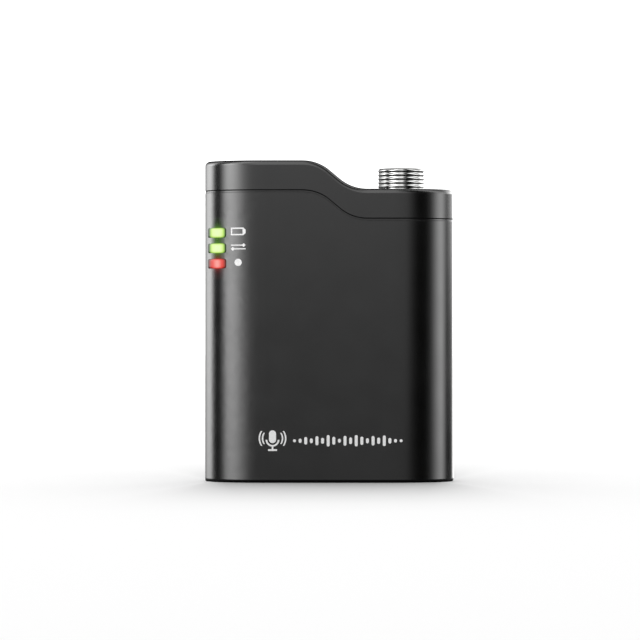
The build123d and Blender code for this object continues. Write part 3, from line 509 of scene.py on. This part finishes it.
GREEN_WINDOW = [
    (0.01, (0.84, 0.98, 0.62)), (0.05, (0.83, 0.99, 0.47)), (0.25, (0.58, 0.84, 0.19)),
    (0.50, (0.27, 0.50, 0.07)), (0.75, (0.09, 0.18, 0.02)), (0.98, (0.01, 0.03, 0.004)),
]
RED_WINDOW = [
    (0.02, (0.99, 0.41, 0.38)), (0.10, (0.93, 0.27, 0.24)), (0.23, (0.86, 0.112, 0.10)),
    (0.47, (0.62, 0.038, 0.026)), (0.72, (0.22, 0.011, 0.007)), (0.98, (0.03, 0.003, 0.002)),
]
for key, node in WINDOWS.items():
    lit_red = key == "status"
    stops = RED_WINDOW if lit_red else GREEN_WINDOW
    finish = lit_window(f"window_{key}", stops, window_face[key], 2.0 if lit_red else 4.0)
    window_piece(f"window_{key}", window_middle[key].z, finish, node)

# ---------------------------------------------------------------------------
# Printed symbols and the front mark
# ---------------------------------------------------------------------------
ink, ink_nodes, ink_links, ink_shader = new_material("white_ink")
ink_fleck = noise(ink_nodes, ink_links, 4000.0, 3.0, 0.6)
ink_white = ramp(ink_nodes, ink_links, ink_fleck, [(0.3, 0.80), (0.6, 0.90)])
ink_links.new(ink_white, ink_shader.inputs["Base Color"])
ink_shader.inputs["Roughness"].default_value = 0.5
bump(ink_nodes, ink_links, ink_shader, ink_fleck, 0.3, 0.004 * MM)

LINE = 0.34 * MM


def battery_symbol():
    """Cell outline with a solid, bevelled end."""
    points, faces = [], []
    z = window_middle["battery"].z + 0.28 * MM
    half_height = 0.98 * MM
    x0, nub, tip = -25.15 * MM, -22.15 * MM, -21.37 * MM
    z0, z1 = z - half_height, z + half_height
    ink_box(points, faces, x0, x0 + LINE, z0, z1)
    ink_box(points, faces, x0 + LINE, nub, z0, z0 + LINE)
    ink_box(points, faces, x0 + LINE, nub, z1 - LINE, z1)
    bevel = 0.58 * MM

    def half(x):
        return half_height - max(0.0, x - (tip - bevel)) * 0.95

    slab(points, faces, spread(nub, tip, 9), lambda x: z - half(x), lambda x: z + half(x))
    ink_object("symbol_battery", points, faces, ink)


def link_symbol():
    """Two lines with a small head at opposite ends."""
    points, faces = [], []
    z = window_middle["link"].z
    head = 0.88 * MM
    left, right = -25.15 * MM, -21.37 * MM
    for side, line_z in ((1, z + 0.73 * MM), (-1, z - 0.22 * MM)):
        tip = right if side > 0 else left
        neck = tip - side * head
        ink_box(points, faces, left if side > 0 else neck, neck if side > 0 else right,
                line_z - 0.4 * LINE, line_z + 0.4 * LINE)

        def half(x, tip=tip, neck=neck):
            return max(0.04 * MM, min(abs(x - tip), abs(x - neck) + 0.14 * MM))

        slab(points, faces, spread(min(neck, tip), max(neck, tip), 9),
             lambda x, lz=line_z, h=half: lz - h(x), lambda x, lz=line_z, h=half: lz + h(x))
    ink_object("symbol_link", points, faces, ink)


def status_symbol():
    """Solid dot."""
    points, faces = [], []
    ink_disc(points, faces, -23.28 * MM, window_middle["status"].z + 0.28 * MM, 0.92 * MM)
    ink_object("symbol_status", points, faces, ink)


def front_mark():
    """Plain pictogram of a microphone beside a row of level bars."""
    points, faces = [], []
    z = 10.75 * MM
    x = -14.5 * MM
    ink_pill(points, faces, x, 0.92 * MM, z - 0.6 * MM, z + 2.65 * MM)
    ring_outer, ring_inner = 1.75 * MM, 1.32 * MM
    cradle_z = z + 0.25 * MM
    xs = [x - ring_outer * cos(radians(2 + 176 * i / 36)) for i in range(37)]

    def outer(px):
        return cradle_z - sqrt(max(0.0, ring_outer**2 - (px - x) ** 2))

    def inner(px):
        reach = ring_inner**2 - (px - x) ** 2
        return cradle_z - (sqrt(reach) if reach > 0 else 0.0)

    slab(points, faces, xs, outer, inner)
    ink_box(points, faces, x - 0.22 * MM, x + 0.22 * MM, z - 2.15 * MM, z - 1.45 * MM)
    ink_box(points, faces, x - 1.15 * MM, x + 1.15 * MM, z - 2.6 * MM, z - 2.15 * MM)
    # Two waves on each side of the microphone
    for side in (-1, 1):
        for radius in (2.55 * MM, 3.35 * MM):
            rows = [radius * sin(radians(turn)) for turn in spread(-34, 34, 13)]
            ink_arc(points, faces, x, z + 0.6 * MM, side, radius, rows)
    levels = [
        0.5, 1.1, 1.9, 1.2, 2.3, 1.5, 2.9, 2.0, 1.0, 2.5,
        1.7, 2.9, 2.1, 1.3, 2.4, 1.6, 2.7, 1.4, 0.9, 0.5,
    ]
    first_bar = -8.9 * MM
    bar_half_width = 0.38
    for index, level in enumerate(levels):
        bar_x = first_bar + index * 1.43 * MM
        half = max(level, 2 * bar_half_width) * MM / 2
        ink_pill(points, faces, bar_x, bar_half_width * MM, z - half, z + half)
    ink_object("front_mark", points, faces, ink)


battery_symbol()
link_symbol()
status_symbol()
front_mark()


# ---------------------------------------------------------------------------
# Threaded sleeve of the connector
# ---------------------------------------------------------------------------
def turned(name, profile, x, around, smooth):
    """Ring turned about an upright axis from a closed outline of (radius, height)."""
    points = []
    for radius, z in profile:
        for i in range(around):
            turn = 2 * pi * i / around
            points.append((x + radius * cos(turn), radius * sin(turn), z))
    faces = grid_faces(len(profile), around, wrap=True)
    last = (len(profile) - 1) * around
    for i in range(around):
        after = (i + 1) % around
        faces.append((last + i, last + after, after, i))
    return mesh_object(name, points, faces, smooth)


def threaded_sleeve():
    """Nickel sleeve with a rounded thread, a chamfered mouth and a flange under the deck."""
    outer = 6.0 * MM
    bore = 3.45 * MM
    flange = 7.4 * MM
    pitch = 1.0 * MM
    depth = 0.24 * MM
    first = DECK_LOW + 0.27 * MM        # middle of the lowest visible groove
    mouth = JACK_TOP - 0.25 * MM        # where the thread ends and the chamfer starts
    flange_top = sleeve_low.z + 1.2 * MM
    profile = [(bore, sleeve_low.z), (flange, sleeve_low.z)]
    profile += [(flange, flange_top), (outer - depth, flange_top)]
    steps = 16
    z = DECK_LOW - 0.23 * MM            # start of the thread, inside the cap
    while z < mouth:
        phase = (z - first) / pitch
        wave = (1 + cos(2 * pi * phase)) / 2
        profile.append((outer - depth * wave, z))
        z += pitch / steps
    profile.append((outer - 0.12 * MM, mouth))
    profile.append((outer - 0.32 * MM, JACK_TOP - 0.03 * MM))
    profile.append((outer - 0.40 * MM, JACK_TOP))
    profile.append((bore + 0.35 * MM, JACK_TOP))
    profile.append((bore, JACK_TOP - 0.35 * MM))
    sleeve = turned("threaded_sleeve", profile, JACK_X, 160, 40)
    sleeve.data.materials.append(MATERIALS["nickel"])
    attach(sleeve, "root")
    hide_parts("jack_bushing")


threaded_sleeve()


# ---------------------------------------------------------------------------
# Camera, floor and studio light
# ---------------------------------------------------------------------------
CAMERA_PLACE = Vector((-2.4 * MM, -800 * MM, 41.52 * MM))
CAMERA_LENS = 174.4
TENT = 1.13                             # brightness of the white tent


def add_camera():
    """Long lens, level with the middle of the object."""
    data = bpy.data.cameras.new("camera")
    data.lens = CAMERA_LENS
    data.sensor_width = 36.0
    data.clip_end = 100.0
    camera = bpy.data.objects.new("camera", data)
    camera.location = CAMERA_PLACE
    camera.rotation_euler = (radians(90), 0, 0)
    bpy.context.scene.collection.objects.link(camera)
    bpy.context.scene.camera = camera


FLOOR_Z = 0.02 * MM
FLOOR_RADIUS = 2.9
FLOOR_GREY = 0.9
TENT_RADIUS = 3.0
TENT_LEAN = (-0.027, 0.15, 0.0)         # how the brightness leans, per metre
SHADE_REACH = 120 * MM                  # how far the shade runs out from the case
SHADE_SIDES = (27.0 * MM, 32.5 * MM)    # inner and outer edge of its sides, at the case
SHADE_GROWTH = (-12 * MM, 32 * MM)      # how far those edges move where the shade ends
# Darkening with distance, chosen from the ratio of the photograph's tones to a plain floor's
SHADE_STOPS = [(0.0, 0.60), (0.12, 0.70), (0.27, 0.79), (0.50, 0.89), (0.75, 0.97), (1.0, 1.0)]


def contact_shade(nodes, links):
    """Floor colour: pale, with a painted shade at the foot of the case in place of a polished surface."""
    place = nodes.new("ShaderNodeTexCoord")
    parts = nodes.new("ShaderNodeSeparateXYZ")
    links.new(place.outputs["Object"], parts.inputs["Vector"])
    along = maths(nodes, links, "ABSOLUTE", parts.outputs["Y"])
    across = maths(nodes, links, "ABSOLUTE", parts.outputs["X"])
    distance = between(nodes, links, along, HALF_DEPTH, HALF_DEPTH + SHADE_REACH)
    # The sides of the shade soften with distance from the case
    edges = [
        maths(nodes, links, "MULTIPLY_ADD", distance, growth, start)
        for growth, start in zip(SHADE_GROWTH, SHADE_SIDES)
    ]
    beside = between(nodes, links, across, *edges)
    depth = ramp(nodes, links, distance, SHADE_STOPS)
    shade = blended(nodes, links, beside, depth, (1, 1, 1, 1))
    return blended(nodes, links, 1.0, (FLOOR_GREY, FLOOR_GREY, FLOOR_GREY, 1), shade, "MULTIPLY")


def add_floor():
    """Pale floor, open under the case."""
    around = 96
    half_width = HALF_FLAT + END_LENGTH - 2 * MM
    half_depth = HALF_DEPTH - 0.8 * MM
    inner, outer = [], []
    for i in range(around):
        turn = 2 * pi * i / around
        across, along = cos(turn), sin(turn)
        reach_x = half_width * sqrt(abs(across))
        reach_y = half_depth * sqrt(abs(along))
        inner.append((reach_x if across > 0 else -reach_x, reach_y if along > 0 else -reach_y, FLOOR_Z))
        outer.append((FLOOR_RADIUS * across, FLOOR_RADIUS * along, FLOOR_Z))
    floor = mesh_object("floor", inner + outer, grid_faces(2, around, wrap=True))
    material, nodes, links, shader = new_material("floor")
    links.new(contact_shade(nodes, links), shader.inputs["Base Color"])
    shader.inputs["Roughness"].default_value = 0.9
    shader.inputs["Specular IOR Level"].default_value = 0.0
    floor.data.materials.append(material)
    floor.visible_glossy = False


def add_tent():
    """White tent that lights the matt surfaces and isn't mirrored."""
    bpy.ops.mesh.primitive_uv_sphere_add(segments=48, ring_count=24, radius=TENT_RADIUS)
    tent = bpy.context.object
    tent.name = "tent"
    glow, nodes, links, shader = new_material("tent")
    place = nodes.new("ShaderNodeTexCoord")
    lean = nodes.new("ShaderNodeVectorMath")
    lean.operation = "DOT_PRODUCT"
    lean.inputs[1].default_value = TENT_LEAN
    links.new(place.outputs["Object"], lean.inputs[0])
    level = maths(nodes, links, "MULTIPLY_ADD", lean.outputs["Value"], TENT, TENT)
    shader.inputs["Base Color"].default_value = (0, 0, 0, 1)
    shader.inputs["Emission Color"].default_value = (1, 1, 1, 1)
    links.new(level, shader.inputs["Emission Strength"])
    glow.cycles.emission_sampling = "NONE"
    tent.data.materials.append(glow)
    tent.visible_glossy = False
    tent.visible_shadow = False
    tent.visible_transmission = False


# Light and dark round the object. Directions run from straight in front of the object, in degrees,
# with the left of the picture negative; every row gives the brightness below the horizon, level
# with it, just above it and half-way up. The numbers came out of a program that fitted them to the
# tones of the photograph, and some were then changed. They weren't set by hand throughout.
STUDIO = [
    (-180, 0.0, 0.0, 0.0, 0.0),
    (-150, 0.0, 1.0, 0.5, 0.0),
    (-130, 0.0, 4.3, 4.5, 0.5),
    (-115, 0.0, 7.3, 9.2, 2.0),
    (-105, 0.0, 7.4, 14.0, 3.0),
    (-96, 0.0, 1.75, 14.0, 2.0),
    (-88, 0.0, 0.0, 0.1, 0.0),
    (-72, 0.0, 0.0, 0.4, 0.0),
    (-64, 0.0, 1.7, 9.2, 3.0),
    (-56, 0.0, 7.5, 14.0, 6.0),
    (-48, 0.0, 8.5, 13.6, 6.0),
    (-40, 0.0, 8.0, 7.9, 5.0),
    (-30, 0.0, 4.3, 0.6, 3.0),
    (-20, 0.0, 1.3, 1.9, 3.0),
    (-10, 0.0, 0.57, 3.0, 3.0),
    (0, 0.7, 0.34, 3.2, 3.0),
    (10, 0.0, 0.77, 1.9, 3.0),
    (17, 0.0, 0.8, 2.4, 1.0),
    (24, 0.0, 0.15, 1.3, 0.0),
    (31, 0.0, 0.0, 0.0, 0.0),
    (46, 0.0, 0.0, 0.0, 0.0),
    (54, 0.0, 0.42, 0.0, 0.5),
    (62, 0.0, 3.1, 1.0, 3.0),
    (70, 0.0, 6.2, 4.6, 4.0),
    (80, 0.0, 8.1, 4.8, 4.0),
    (90, 0.0, 3.4, 5.1, 3.0),
    (100, 0.0, 0.0, 3.4, 1.0),
    (112, 0.0, 0.0, 8.5, 1.0),
    (130, 0.0, 0.12, 10.0, 1.0),
    (180, 0.0, 8.5, 0.0, 0.0),
]
BRIGHTEST = 14.0
HEIGHTS = [-0.174, 0.0, 0.174, 0.707]    # sine of the height that each column stands for
ZENITH_START = 0.94                     # sine of the height where the light turns to the zenith's
ZENITH = 1.5


def add_world():
    """Studio of the list above, seen in reflections only."""
    world = bpy.data.worlds.new("studio")
    bpy.context.scene.world = world
    world.use_nodes = True
    nodes = world.node_tree.nodes
    links = world.node_tree.links
    background = nodes["Background"]
    place = nodes.new("ShaderNodeTexCoord")
    parts = nodes.new("ShaderNodeSeparateXYZ")
    links.new(place.outputs["Generated"], parts.inputs["Vector"])
    toward = maths(nodes, links, "MULTIPLY", parts.outputs["Y"], -1.0)
    turn = maths(nodes, links, "ARCTAN2", parts.outputs["X"], toward)
    direction = between(nodes, links, turn, -pi, pi)
    light = None
    for column, height in enumerate(HEIGHTS):
        stops = [((row[0] + 180) / 360, row[column + 1] / BRIGHTEST) for row in STUDIO]
        level = ramp(nodes, links, direction, stops)
        if light is None:
            light = level
        else:
            rise = between(nodes, links, parts.outputs["Z"], HEIGHTS[column - 1], height)
            light = blended(nodes, links, rise, light, level)
    grey = ZENITH / BRIGHTEST
    rise = between(nodes, links, parts.outputs["Z"], ZENITH_START, 1.0)
    light = blended(nodes, links, rise, light, (grey, grey, grey, 1))
    links.new(light, background.inputs["Color"])
    background.inputs["Strength"].default_value = BRIGHTEST
    world.cycles_visibility.diffuse = False
    world.cycles_visibility.camera = False


add_camera()
add_floor()
add_tent()
add_world()
bpy.context.scene.view_settings.view_transform = "Standard"
